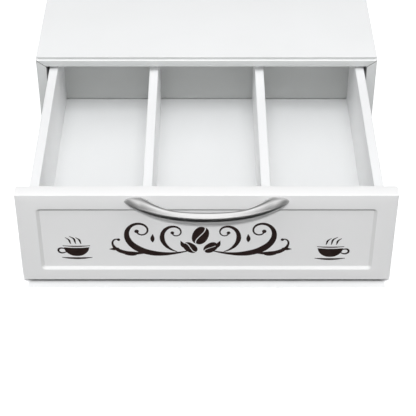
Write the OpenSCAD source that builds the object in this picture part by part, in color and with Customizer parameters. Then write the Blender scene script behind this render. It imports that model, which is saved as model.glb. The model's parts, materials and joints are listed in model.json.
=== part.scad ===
// Coffee pod drawer: a mitred cabinet with one pull-out drawer of three pockets.
// Millimetres, +Z up. The front faces -Y and the rubber feet stand on Z = 0.
// The origin is the middle of the whole footprint with the drawer pulled out.

/* [Cabinet] */
// Width over the two side boards
cabinet_w = 310; // [270:1:380]
// Height of the box without its feet
cabinet_h = 93; // [82:1:130]
// Depth from the face of the edge bands to the rear
cabinet_d = 250; // [246:1:300]
// Thickness of the four mitred boards
board_t = 8.7; // [8:0.1:12]
// Thickness of the edge bands glued to the front edges
band_t = 2.5; // [1:0.1:3]
// Rounding along the outer edge of the bands
band_r = 0.8; // [0.5:0.1:2]
// How far the upper band lies below the face of the top board
band_step = 2.2; // [0.5:0.1:4]
// Rounding along the front edge of the top board, above the step
top_arris_r = 0.5; // [0.2:0.1:1]
// Depth of the fine V-groove along the seam between the other bands and boards
seam_v = 0.4; // [0.2:0.1:0.8]
// Thickness of the rear panel
back_t = 3; // [2:0.5:4]
// Width of the rebate that the rear panel lies in
rebate_w = 5; // [4:0.5:6]

/* [Mitre splines] */
// Thickness of the loose tongue in each mitre
spline_t = 3; // [2:0.5:3]
// Width of the tongue across the mitre
spline_w = 7; // [5:0.5:7]
// Distance that the tongue stops short of the front and of the rebate
spline_stop = 20; // [10:1:40]

/* [Rear panel pins] */
// Diameter of a pin's shank
pin_d = 1.4; // [1:0.1:1.6]
// Length of a pin, with its head
pin_l = 15; // [10:1:18]
// Diameter of a pin's flat head
pin_head_d = 3; // [2:0.1:3.2]
// Thickness of a pin's head, let into the panel
pin_head_t = 0.6; // [0.3:0.1:1]
// Distance of the pins from the edge of the rear panel
pin_edge = 2.3; // [1.8:0.1:2.4]
// Pins along the top and along the bottom
pins_long = 5; // [2:1:8]
// Pins along each side
pins_short = 2; // [2:1:3]

/* [Feet] */
// Diameter of a foot where it meets the board
foot_d = 12; // [10:1:20]
// Height of a foot
foot_h = 2; // [1.5:0.5:5]
// Distance of a foot's centre from the outer faces
foot_inset = 14; // [12:1:30]

/* [Drawer box] */
// Length of the drawer's sides
drawer_d = 234; // [200:1:240]
// Thickness of the two sides and of the back
side_t = 8; // [7.5:0.5:9]
// Clearance between a side and the cabinet, left and right
side_clear = 2.7; // [0.5:0.1:3]
// Clearance between the sides and the cabinet's top board
top_clear = 3.5; // [1:0.1:8]
// Running gap under the sides
run_gap = 0.5; // [0.3:0.1:1]
// Rounding along the upper edges of the sides and dividers
arris_r = 0.8; // [0.3:0.1:1.5]
// Thickness of the bottom panel
bottom_t = 3; // [2.5:0.5:4]
// Height of the bottom panel above the lower edges of the sides
bottom_rise = 6.4; // [4:0.1:8]
// Depth of the groove that holds the bottom panel
groove_depth = 4; // [2:0.5:5]

/* [Dividers] */
// Thickness of a divider
divider_t = 8; // [5:0.5:9]
// Width of the middle pocket
middle_pocket_w = 88.4; // [70:0.1:110]
// Distance from the top of the sides down to the top of the dividers
divider_drop = 3; // [0:0.5:10]
// Depth of the housings that hold a divider's ends
housing_depth = 2.5; // [1.5:0.5:3]

/* [Dowels] */
// Diameter of a dowel
dowel_d = 5; // [4:0.5:5]
// Length of a dowel
dowel_l = 20; // [16:1:24]
// Length of a front dowel that sits in the drawer's front
dowel_in_front = 7; // [5:0.5:8]
// Length of a rear dowel that sits in a side
dowel_in_side = 5; // [4:0.5:5.5]
// Distance of the dowels from the upper and lower edges of a side
dowel_edge = 16; // [14:1:20]

/* [Drawer front] */
// Thickness of the front
front_t = 12; // [11:0.5:16]
// Distance that the front stays inside the cabinet's outline, above and at the sides
front_reveal = 2.5; // [0:0.5:3]
// Height of the front's lower edge above the cabinet's underside
front_lift = 0; // [0:0.5:3]
// Rounding along the edges of the front face
front_r = 0.6; // [0.5:0.1:3]
// Width of the stiles left and right of the sunk panel
stile_w = 15.9; // [12:0.1:30]
// Width of the rail above the sunk panel
top_rail_w = 14.3; // [13:0.1:20]
// Width of the rail below the sunk panel
bottom_rail_w = 11.3; // [8:0.1:20]
// Depth of the sunk panel
sunk_depth = 1.6; // [0.6:0.1:2.5]
// Width of the bevel round the sunk panel
bevel_w = 2.6; // [1:0.1:4]
// Corner radius of the sunk panel, at the face
sunk_corner_r = 3.6; // [3:0.1:10]

/* [Handle] */
// Distance between the handle's two screws
handle_centres = 96; // [64:32:128]
// Distance from a screw out to the handle's tip
handle_tip = 17.7; // [15:0.1:20]
// Distance from the front to the outside of the grip
handle_out = 23; // [20:0.1:30]
// Distance from the top of the front down to the handle's middle
handle_drop = 6.4; // [6:0.1:20]
// Height of the grip at its middle
grip_h = 8.5; // [6:0.1:9]
// Thickness of the grip at its middle
grip_t = 6.5; // [5:0.1:8]
// Height of the leaf-shaped feet where they are widest
leaf_h = 10.2; // [9:0.1:13]

/* [Handle screws] */
// Thread diameter of a screw
screw_d = 4; // [3:0.5:4]
// Length of a screw, with its countersunk head
screw_l = 18; // [16:1:19]
// Diameter of the countersunk head
screw_head_d = 7.5; // [6:0.5:8]

/* [Motion] */
// Distance that the drawer stands open
drawer_open = 182; // [0:1:190]

/* [Hidden] */

fit = 0.05;        // clearance round a glued or driven piece
eps = 0.5;         // distance that a cutter reaches past the face it opens
$fn = 48;

// Cabinet
floor_z = foot_h + board_t;
ceiling_z = foot_h + cabinet_h - board_t;
cabinet_mid_z = foot_h + cabinet_h / 2;
opening_half_w = cabinet_w / 2 - board_t;
carcass_d = cabinet_d - band_t;
spline_inset = 0.6 * board_t;
spline_l = carcass_d - back_t - 2 * spline_stop;
spline_y = band_t + spline_stop + spline_l / 2;
back_w = cabinet_w - 2 * (board_t - rebate_w) - 4 * fit;
back_h = cabinet_h - 2 * (board_t - rebate_w) - 4 * fit;

// Drawer: its own Y is 0 at the back of the front
side_out = opening_half_w - side_clear;
side_in = side_out - side_t;
side_z = floor_z + run_gap;
side_top_z = ceiling_z - top_clear;
pocket_l = drawer_d - side_t;
bottom_z = side_z + bottom_rise;
pocket_floor_z = bottom_z + bottom_t;
divider_x = (middle_pocket_w + divider_t) / 2;
divider_top_z = side_top_z - divider_drop;
front_w = cabinet_w - 2 * front_reveal;
front_h = cabinet_h - front_reveal - front_lift;
front_z = foot_h + front_lift;
front_top_z = front_z + front_h;
sunk_w = front_w - 2 * stile_w;
sunk_h = front_h - top_rail_w - bottom_rail_w;
sunk_mid_z = front_z + bottom_rail_w + sunk_h / 2;
handle_z = front_top_z - handle_drop;

// The footprint's middle, counted from the front plane of the cabinet
origin_y = (cabinet_d - drawer_open - front_t - handle_out) / 2;

// ---------------------------------------------------------------- placing

module in_cabinet() {
    translate([0, -origin_y, 0]) children();
}

module in_drawer() {
    translate([0, -origin_y - drawer_open, 0]) children();
}

// Turns a board drawn with its outer face up and its length along X to one side of the box.
module to_side(side) {
    if (side == "top")
        translate([0, 0, foot_h + cabinet_h]) children();
    if (side == "bottom")
        translate([0, 0, foot_h]) rotate([0, 180, 0]) children();
    if (side == "right")
        translate([cabinet_w / 2, 0, cabinet_mid_z]) rotate([0, 90, 0]) children();
    if (side == "left")
        translate([-cabinet_w / 2, 0, cabinet_mid_z]) rotate([0, -90, 0]) children();
}

function side_length(side) = side == "top" || side == "bottom" ? cabinet_w : cabinet_h;
function side_pins(side) = side == "top" || side == "bottom" ? pins_long : pins_short;

// ---------------------------------------------------------------- shared shapes

// A bar along X whose ends are mitred at 45 degrees, with its outer face at Z = 0.
module mitred_bar(length, depth) {
    translate([0, depth, 0])
        rotate([90, 0, 0])
            linear_extrude(depth)
                polygon([
                    [-length / 2, 0], [length / 2, 0],
                    [length / 2 - board_t, -board_t], [-length / 2 + board_t, -board_t]
                ]);
}

// How far each band's outer face lies below its board's, and how far each end is drawn in.
function band_drop(side) = side == "top" ? band_step : 0;
function band_start(side) = side == "right" ? band_step : 0;
function band_end(side) = side == "left" ? band_step : 0;

// A band along X; its mitres run from the outer corner of the bands to the inner corner of the boards.
module band_bar(side) {
    half = side_length(side) / 2;
    drop = band_drop(side);
    translate([0, band_t, 0])
        rotate([90, 0, 0])
            linear_extrude(band_t)
                polygon([
                    [-half + band_start(side), -drop], [half - band_end(side), -drop],
                    [half - board_t, -board_t], [-half + board_t, -board_t]
                ]);
}

// What a rounding cutter takes off an edge that runs along X at Y = 0, Z = 0, from a body at +Y, -Z.
module edge_cutter(length, r) {
    rotate([90, 0, 90])
        translate([0, 0, -length / 2])
            linear_extrude(length)
                difference() {
                    translate([-eps, -r]) square([r + eps, r + eps]);
                    translate([r, -r]) circle(r);
                }
}

// What the V-groove takes out along the seam between a band and its board.
module seam_cutter(length) {
    width = seam_v * sqrt(2);
    translate([0, band_t, 0])
        rotate([45, 0, 0]) cube([length + 2 * eps, width, width], center = true);
}

// A board that stands on its long edge along Y, with both upper edges rounded.
module upright(thickness, length, height, r) {
    translate([0, length, 0])
        rotate([90, 0, 0])
            linear_extrude(length)
                union() {
                    translate([-thickness / 2, 0]) square([thickness, height - r]);
                    translate([-thickness / 2 + r, 0]) square([thickness - 2 * r, height]);
                    for (s = [-1, 1])
                        translate([s * (thickness / 2 - r), height - r]) circle(r);
                }
}

// ---------------------------------------------------------------- cabinet

module spline_block(clear = 0) {
    cube([spline_w + 2 * clear, spline_l + 2 * clear, spline_t + 2 * clear], center = true);
}

// Pins stand in a row along X, at equal steps, half a step in from the rebate's ends.
function pin_xs(side) =
    let (span = side_length(side) - 2 * board_t, count = side_pins(side))
    [for (i = [0 : count - 1]) span * ((i + 0.5) / count - 0.5)];

module pin_places(side) {
    to_side(side)
        for (x = pin_xs(side))
            translate([x, cabinet_d, -board_t + rebate_w - 2 * fit - pin_edge])
                rotate([90, 0, 0]) children();
}

module pin(clear = 0) {
    cylinder(h = pin_l + clear, r = pin_d / 2 + clear);
    translate([0, 0, clear > 0 ? -eps : 0])
        cylinder(h = pin_head_t + (clear > 0 ? eps : 0), r = pin_head_d / 2 + clear);
}

module cabinet_board(side) {
    length = side_length(side);
    in_cabinet()
        difference() {
            to_side(side)
                difference() {
                    translate([0, band_t, 0]) mitred_bar(length, carcass_d);
                    for (s = [-1, 1])
                        translate([s * (length / 2 - spline_inset), spline_y, -spline_inset])
                            rotate([0, 45 * s, 0]) spline_block(fit);
                    translate([-length / 2, cabinet_d - back_t, -board_t - eps])
                        cube([length, back_t + eps, rebate_w + eps]);
                    if (side == "top")
                        translate([0, band_t, 0]) edge_cutter(length + 2 * eps, top_arris_r);
                    else
                        seam_cutter(length);
                }
            pin_places(side) pin(fit);
        }
}

module cabinet_top() color("whitesmoke") cabinet_board("top");
module cabinet_bottom() color("whitesmoke") cabinet_board("bottom");
module cabinet_left() color("whitesmoke") cabinet_board("left");
module cabinet_right() color("whitesmoke") cabinet_board("right");

module cabinet_back() {
    color("gainsboro")
        in_cabinet()
            difference() {
                translate([-back_w / 2, cabinet_d - back_t, cabinet_mid_z - back_h / 2])
                    cube([back_w, back_t, back_h]);
                for (side = ["top", "bottom", "left", "right"])
                    pin_places(side) pin(fit);
            }
}

module back_panel_pins() {
    color("silver")
        in_cabinet()
            for (side = ["top", "bottom", "left", "right"])
                pin_places(side) pin();
}

module edge_band(side) {
    length = side_length(side);
    color("white")
        in_cabinet()
            to_side(side)
                difference() {
                    band_bar(side);
                    translate([0, 0, -band_drop(side)]) edge_cutter(length + 2 * eps, band_r);
                    if (side != "top")
                        seam_cutter(length);
                }
}

module mitre_spline(sx, sz) {
    color("burlywood")
        in_cabinet()
            translate([
                sx * (cabinet_w / 2 - spline_inset), spline_y,
                cabinet_mid_z + sz * (cabinet_h / 2 - spline_inset)
            ])
                rotate([0, 45 * sx * sz, 0]) spline_block();
}

// A stick-on foot, turned: flat where it is stuck, narrower and rounded where it stands.
module foot(sx, rear) {
    edge_r = foot_h / 3;
    toe_r = foot_d / 2 - foot_h / 4;
    color("dimgray")
        in_cabinet()
            translate([
                sx * (cabinet_w / 2 - foot_inset),
                rear ? cabinet_d - foot_inset : foot_inset, 0
            ])
                rotate_extrude()
                    union() {
                        square([toe_r - edge_r, foot_h]);
                        translate([toe_r - edge_r, edge_r]) circle(edge_r);
                        polygon([
                            [toe_r - edge_r, edge_r], [toe_r, edge_r],
                            [foot_d / 2, foot_h], [toe_r - edge_r, foot_h]
                        ]);
                    }
}

// ---------------------------------------------------------------- drawer box

// The bottom panel, or with a clearance the groove that it slides into.
module bottom_sheet(clear = 0) {
    reach = groove_depth - 4 * fit + clear;
    translate([-side_in - reach, -reach, bottom_z])
        cube([2 * (side_in + reach), pocket_l + 2 * reach, bottom_t + clear / 2]);
}

// A divider, or with a clearance the two housings that take its ends.
module divider_board(sx, clear = 0) {
    reach = housing_depth - 2 * fit + clear;
    translate([sx * divider_x, -reach, pocket_floor_z - clear])
        upright(divider_t + 2 * clear, pocket_l + 2 * reach,
            divider_top_z - pocket_floor_z + 2 * clear, arris_r + clear);
}

module dowel(length, clear = 0) {
    translate([0, 0, -clear])
        cylinder(h = length + 2 * clear, r = dowel_d / 2 + clear);
}

// Dowels between the front and the end of a side.
module front_dowel_places(sx) {
    for (z = [side_z + dowel_edge, side_top_z - dowel_edge])
        translate([sx * (side_out - side_t / 2), -dowel_in_front, z])
            rotate([-90, 0, 0]) children();
}

// Dowels between a side and the end of the back.
module rear_dowel_places(sx) {
    for (z = [side_z + dowel_edge, side_top_z - dowel_edge])
        translate([sx * (side_in + dowel_in_side), drawer_d - side_t / 2, z])
            rotate([0, -90 * sx, 0]) children();
}

module drawer_side(sx) {
    color("white")
        in_drawer()
            difference() {
                translate([sx * (side_out - side_t / 2), 0, side_z])
                    upright(side_t, drawer_d, side_top_z - side_z, arris_r);
                bottom_sheet(4 * fit);
                front_dowel_places(sx) dowel(dowel_l, fit);
                rear_dowel_places(sx) dowel(dowel_l, fit);
            }
}

module drawer_left_side() drawer_side(-1);
module drawer_right_side() drawer_side(1);

module drawer_back() {
    color("white")
        in_drawer()
            difference() {
                translate([-side_in, pocket_l, side_z])
                    cube([2 * side_in, side_t, side_top_z - side_z]);
                bottom_sheet(4 * fit);
                for (sx = [-1, 1]) {
                    divider_board(sx, fit);
                    rear_dowel_places(sx) dowel(dowel_l, fit);
                }
            }
}

module drawer_bottom() color("white") in_drawer() bottom_sheet();

module divider(sx) color("white") in_drawer() divider_board(sx);
module divider_left() divider(-1);
module divider_right() divider(1);

module front_dowels() {
    color("burlywood")
        in_drawer()
            for (sx = [-1, 1])
                front_dowel_places(sx) dowel(dowel_l);
}

module rear_dowels() {
    color("burlywood")
        in_drawer()
            for (sx = [-1, 1])
                rear_dowel_places(sx) dowel(dowel_l);
}

// ---------------------------------------------------------------- drawer front

// What the sunk panel takes out of the face at Y = 0, towards +Y, centred on X and Z.
module sunk_panel_cutter() {
    slope = bevel_w / sunk_depth;
    rotate([-90, 0, 0]) {
        sunk_run(sunk_w - 2 * sunk_corner_r, sunk_h / 2);
        rotate([0, 0, 90]) sunk_run(sunk_h - 2 * sunk_corner_r, sunk_w / 2);
        for (sx = [-1, 1], sz = [-1, 1])
            translate([
                sx * (sunk_w / 2 - sunk_corner_r), sz * (sunk_h / 2 - sunk_corner_r), -eps
            ])
                cylinder(h = sunk_depth + eps, r1 = sunk_corner_r + eps * slope,
                    r2 = max(sunk_corner_r - bevel_w, eps));
    }
}

// One straight run of the sunk panel along X: a flat floor between two bevels.
module sunk_run(length, reach) {
    slope = bevel_w / sunk_depth;
    rotate([90, 0, 90])
        translate([0, 0, -length / 2])
            linear_extrude(length)
                polygon([
                    [-reach - eps * slope, -eps], [reach + eps * slope, -eps],
                    [reach - bevel_w, sunk_depth], [bevel_w - reach, sunk_depth]
                ]);
}

module handle_screw_places() {
    for (sx = [-1, 1])
        translate([sx * handle_centres / 2, 0, handle_z])
            rotate([90, 0, 0]) children();
}

module drawer_front() {
    color("white")
        in_drawer()
            difference() {
                translate([-front_w / 2, -front_t, front_z]) cube([front_w, front_t, front_h]);
                // rounded face edges
                translate([0, -front_t, front_top_z]) edge_cutter(front_w + 2 * eps, front_r);
                translate([0, -front_t, front_z]) rotate([0, 180, 0])
                    edge_cutter(front_w + 2 * eps, front_r);
                for (s = [-1, 1])
                    translate([s * front_w / 2, -front_t, front_z + front_h / 2])
                        rotate([0, 90 * s, 0]) edge_cutter(front_h + 2 * eps, front_r);
                translate([0, -front_t, sunk_mid_z]) sunk_panel_cutter();
                bottom_sheet(4 * fit);
                for (sx = [-1, 1]) {
                    divider_board(sx, fit);
                    front_dowel_places(sx) dowel(dowel_l, fit);
                }
                handle_screw_places() {
                    translate([0, 0, -eps]) cylinder(h = front_t + 2 * eps, r = screw_d / 2 + 4 * fit);
                    screw_head(fit);
                }
            }
}

// ---------------------------------------------------------------- handle

screw_head_h = (screw_head_d - screw_d) / 2;

module screw_head(clear = 0) {
    cylinder(h = screw_head_h, r1 = screw_head_d / 2 + clear, r2 = screw_d / 2 + clear);
}

module handle_screws() {
    color("silver")
        in_drawer()
            handle_screw_places() {
                screw_head();
                cylinder(h = screw_l, r = screw_d / 2);
            }
}

// The bow is drawn in sections across X. In plan its outer curve runs from tip to tip and its
// inner curve from foot to foot; every section is an ellipse between the two curves. What the
// inner curve leaves behind the front plane is cut off, which makes the flat feet.
bow_half = handle_centres / 2 + handle_tip;
bow_inner_half = 0.727 * bow_half;
bow_behind = 6;        // how far the sections reach behind the front plane, at most
outer_power = 2.16;
outer_fullness = 0.79;
inner_power = 3.3;
leaf_from = 0.42;      // share of the half length at which the bar starts to widen
leaf_to = 0.73;        // share at which it is widest
tip_power = 12;        // the higher, the blunter the tip
bow_stations = 46;
bow_sides = 28;

function outer_y(u) = handle_out * pow(max(0, 1 - pow(u, outer_power)), outer_fullness);
function inner_y(x) =
    max(-bow_behind, (handle_out - grip_t) * (1 - pow(x / bow_inner_half, inner_power)));
function smooth(t) = let (c = max(0, min(1, t))) c * c * (3 - 2 * c);
function bow_half_h(u) =
    (grip_h + (leaf_h - grip_h) * smooth((u - leaf_from) / (leaf_to - leaf_from))) / 2
        * sqrt(1.003 - pow(u, tip_power));
function bow_ring(x) =
    let (
        u = min(1, abs(x) / bow_half),
        far = outer_y(u),
        near = inner_y(abs(x)),
        half_h = bow_half_h(u)
    )
    [for (i = [0 : bow_sides - 1])
        let (a = 360 * i / bow_sides)
        [x, -(far + near) / 2 - (far - near) / 2 * cos(a), half_h * sin(a)]];

module bow_loft() {
    rings = [for (i = [0 : bow_stations])
        bow_ring(bow_half * sin(180 * i / bow_stations - 90))];
    points = [for (ring = rings) each ring];
    polyhedron(
        points = points,
        faces = concat(
            [[for (j = [0 : bow_sides - 1]) j]],
            [for (i = [0 : bow_stations - 1], j = [0 : bow_sides - 1])
                let (k = (j + 1) % bow_sides)
                [i * bow_sides + j, (i + 1) * bow_sides + j,
                 (i + 1) * bow_sides + k, i * bow_sides + k]],
            [[for (j = [bow_sides - 1 : -1 : 0]) bow_stations * bow_sides + j]]
        )
    );
}

module bow_handle() {
    color("darkgray")
        in_drawer()
            difference() {
                translate([0, -front_t, handle_z]) bow_loft();
                translate([-bow_half - eps, -front_t, handle_z - leaf_h])
                    cube([2 * (bow_half + eps), bow_behind + grip_t, 2 * leaf_h]);
                handle_screw_places()
                    cylinder(h = screw_l + 1, r = screw_d / 2 + fit);
            }
}

// ---------------------------------------------------------------- nodes

cabinet_top();
cabinet_bottom();
cabinet_left();
cabinet_right();
cabinet_back();
edge_band("top");  // edge_band_top
edge_band("bottom");  // edge_band_bottom
edge_band("left");  // edge_band_left
edge_band("right");  // edge_band_right
mitre_spline(-1, 1);  // mitre_spline_top_left
mitre_spline(1, 1);  // mitre_spline_top_right
mitre_spline(-1, -1);  // mitre_spline_bottom_left
mitre_spline(1, -1);  // mitre_spline_bottom_right
back_panel_pins();
foot(-1, false);  // foot_front_left
foot(1, false);  // foot_front_right
foot(-1, true);  // foot_rear_left
foot(1, true);  // foot_rear_right
drawer_front();
drawer_left_side();
drawer_right_side();
drawer_back();
drawer_bottom();
divider_left();
divider_right();
front_dowels();
rear_dowels();
bow_handle();
handle_screws();
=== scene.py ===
"""Dressed model of a white coffee pod drawer: a mitred box, a pull-out drawer and a bow handle."""

import json
import logging
import math
from collections.abc import Callable
from dataclasses import dataclass, field
from enum import Enum
from typing import Any

import bpy
import numpy as np
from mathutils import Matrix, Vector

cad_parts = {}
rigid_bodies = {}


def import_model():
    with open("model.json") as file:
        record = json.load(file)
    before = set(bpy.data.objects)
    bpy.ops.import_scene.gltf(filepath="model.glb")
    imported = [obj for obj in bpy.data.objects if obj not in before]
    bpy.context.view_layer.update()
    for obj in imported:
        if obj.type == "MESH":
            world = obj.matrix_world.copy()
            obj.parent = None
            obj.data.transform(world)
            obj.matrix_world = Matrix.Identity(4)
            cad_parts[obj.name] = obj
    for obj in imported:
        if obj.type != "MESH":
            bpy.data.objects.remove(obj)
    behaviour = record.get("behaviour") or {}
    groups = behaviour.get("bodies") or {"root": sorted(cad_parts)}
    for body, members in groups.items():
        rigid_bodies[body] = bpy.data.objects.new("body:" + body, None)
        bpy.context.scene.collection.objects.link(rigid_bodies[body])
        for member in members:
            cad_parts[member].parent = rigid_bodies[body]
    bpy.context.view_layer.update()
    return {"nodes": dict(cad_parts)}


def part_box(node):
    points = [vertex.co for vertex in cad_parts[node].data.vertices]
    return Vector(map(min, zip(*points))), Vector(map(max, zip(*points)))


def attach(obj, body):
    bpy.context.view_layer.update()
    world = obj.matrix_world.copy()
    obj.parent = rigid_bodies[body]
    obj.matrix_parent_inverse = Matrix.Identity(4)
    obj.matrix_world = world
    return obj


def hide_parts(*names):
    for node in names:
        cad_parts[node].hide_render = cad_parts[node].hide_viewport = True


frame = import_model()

log = logging.getLogger("coffee_pod_drawer")

MM = 0.001
FRONT_PLANE_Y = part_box("edge_band_top")[0][1]      # face of the cabinet's edge bands
DRAWER_ZERO_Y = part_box("drawer_front")[1][1]       # back of the drawer's front
CABINET = "cabinet"
DRAWER = "drawer"
WHITE = (1.0, 1.0, 1.0, 1.0)
TOUCH = 1e-6         # metres within which two points are one
CUT_END = 0.2        # a normal's least share along a band for a face to be its cut end
FACING = 0.7         # a normal's least share along an axis for a face to look that way

Colour = tuple[float, float, float]
Mark = tuple[np.ndarray, np.ndarray]      # the two edges of a printed mark


class Slot(Enum):
    """The record's material slots, by name; the new pieces here don't use them."""

    LACQUER = "white_lacquer"
    NICKEL = "satin_nickel"
    ZINC = "zinc_steel"


class Side(Enum):
    """The four boards of the box, each with the turn about Y that brings it from the top."""

    TOP = 0
    RIGHT = 90
    BOTTOM = 180
    LEFT = 270


# ------------------------------------------------------------------ shapes


@dataclass
class Shape:
    """A closed surface as arrays, before it goes into a mesh."""

    verts: np.ndarray
    faces: list[tuple[int, ...]]
    uv: np.ndarray | None = None

    def moved(self, x: float, y: float, z: float) -> "Shape":
        """The same shape, shifted."""
        return Shape(self.verts + np.array([x, y, z]), self.faces, self.uv)

    def turned_about_y(self, degrees: float) -> "Shape":
        """The same shape, turned about the Y axis.

        Args:
            degrees: the turn; +90 takes +Z to +X.

        Returns:
            The turned shape.
        """
        c, s = math.cos(math.radians(degrees)), math.sin(math.radians(degrees))
        turn = np.array([[c, 0, s], [0, 1, 0], [-s, 0, c]])
        return Shape(self.verts @ turn.T, self.faces, self.uv)

    def volume(self) -> float:
        """Signed volume: the sum of the tetrahedra from the origin to a fan of each face.

        Returns:
            The volume, above zero where the faces point out.
        """
        total = 0.0
        for face in self.faces:
            p = self.verts[list(face)]
            total += np.einsum("i,ji->", p[0], np.cross(p[1:-1], p[2:])) / 6
        return float(total)

    def outward(self) -> "Shape":
        """The same shape with its faces pointing out.

        Returns:
            The shape itself, or one with every face turned round.
        """
        if self.volume() >= 0:
            return self
        return Shape(self.verts, [tuple(reversed(f)) for f in self.faces], self.uv)


def joined(shapes: list[Shape]) -> Shape:
    """One shape of several.

    Args:
        shapes: the shapes; their UVs are dropped.

    Returns:
        A shape with the vertices and faces of all.
    """
    faces, start = [], 0
    for shape in shapes:
        faces += [tuple(i + start for i in face) for face in shape.faces]
        start += len(shape.verts)
    return Shape(np.concatenate([shape.verts for shape in shapes]), faces)


def loft(rings: np.ndarray) -> Shape:
    """A skin over rings of points, each ring closed on itself, with a face in the first and the last.

    Args:
        rings: array of shape (rings, points, 3).

    Returns:
        The skin with its faces pointing out.
    """
    count, around = rings.shape[:2]
    i, j = np.meshgrid(np.arange(count - 1), np.arange(around), indexing="ij")
    k = (j + 1) % around
    quads = np.stack([i * around + j, i * around + k, (i + 1) * around + k, (i + 1) * around + j], -1)
    faces = [tuple(q) for q in quads.reshape(-1, 4).tolist()]
    faces.append(tuple(range(around - 1, -1, -1)))
    faces.append(tuple(range((count - 1) * around, count * around)))
    return Shape(rings.reshape(-1, 3), faces).outward()


def arc(centre: tuple[float, float], radius: float, start: float, end: float, steps: int) -> np.ndarray:
    """Points of a circle's arc: centre plus radius times (cosine, sine) of equally spaced angles.

    Args:
        centre: the circle's centre.
        radius: its radius.
        start: first angle in degrees.
        end: last angle in degrees.
        steps: number of steps; there is one point more.

    Returns:
        Array of shape (steps + 1, 2).
    """
    angle = np.radians(np.linspace(start, end, steps + 1))
    return np.stack([centre[0] + radius * np.cos(angle), centre[1] + radius * np.sin(angle)], -1)


def rounded_loop(low: tuple[float, float], high: tuple[float, float],
                 radii: tuple[float, float, float, float], steps: int = 6) -> np.ndarray:
    """A rectangle with four rounded corners, anticlockwise from the lower right one.

    Args:
        low: lower left corner.
        high: upper right corner.
        radii: radius of the lower right, upper right, upper left and lower left corners.
        steps: steps in each corner.

    Returns:
        Array of shape (4 * (steps + 1), 2).
    """
    (x0, z0), (x1, z1) = low, high
    lr, ur, ul, ll = radii
    return np.concatenate([
        arc((x1 - lr, z0 + lr), lr, -90, 0, steps),
        arc((x1 - ur, z1 - ur), ur, 0, 90, steps),
        arc((x0 + ul, z1 - ul), ul, 90, 180, steps),
        arc((x0 + ll, z0 + ll), ll, 180, 270, steps),
    ])


def eased(t: np.ndarray) -> np.ndarray:
    """Smooth step: three times the square less twice the cube of t, held between 0 and 1."""
    t = np.clip(t, 0, 1)
    return t * t * (3 - 2 * t)


def revolved(profile: np.ndarray, sides: int) -> Shape:
    """A profile turned about the Z axis: its radius times (cosine, sine) of each angle, and its height.

    Args:
        profile: (radius, height) points.
        sides: number of steps round the axis.

    Returns:
        The solid, closed at both ends.
    """
    angle = np.linspace(0, 2 * math.pi, sides, endpoint=False)
    rings = np.stack([
        profile[:, :1] * np.cos(angle), profile[:, :1] * np.sin(angle),
        np.repeat(profile[:, 1:], sides, 1),
    ], -1)
    return loft(rings)


# ------------------------------------------------------------------ node trees


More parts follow.
